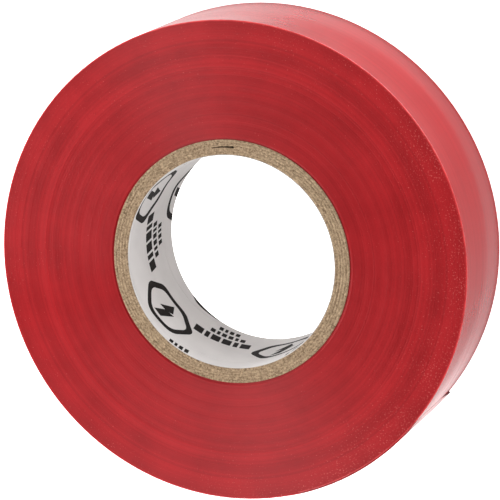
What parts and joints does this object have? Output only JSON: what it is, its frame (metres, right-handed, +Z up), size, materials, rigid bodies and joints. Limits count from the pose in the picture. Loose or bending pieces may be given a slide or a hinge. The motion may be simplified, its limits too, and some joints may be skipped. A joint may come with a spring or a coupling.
{
  "type": "roll of electrical tape",
  "caption": "Roll of red vinyl electrical tape on a printed paperboard core, with a free tail that peels off the outside.",
  "frame": {"origin": "on the roll's axis, in the plane of the face that the roll rests on", "axes": "+Z up along the roll's axis, out of the upper face; +X and +Y lie in the plane of the lower face. The tail's cut end lies at -37.7 degrees from +X towards +Y."},
  "size_m": [0.0717, 0.0718, 0.0191],
  "materials": {
    "liner_paper": "smooth, printed",
    "kraft_board": "matt, fibrous",
    "vinyl_film": "semi-gloss",
    "adhesive": "tacky, satin"
  },
  "bodies": {
    "roll": {"core_liner": "liner_paper", "core_ply_1": "kraft_board", "core_ply_2": "kraft_board", "core_ply_3": "kraft_board", "core_ply_4": "kraft_board", "core_ply_5": "kraft_board", "tape_winding": "vinyl_film"},
    "tail": {"tape_tail_film": "vinyl_film", "tape_tail_adhesive": "adhesive"}
  },
  "joints": [
    {"name": "tail_peel", "type": "hinge", "parent": "roll", "child": "tail", "pos_m": [0.01076, -0.03438, 0.00953], "axis": [0, 0, -1], "range_deg": [0, 120]}
  ]
}
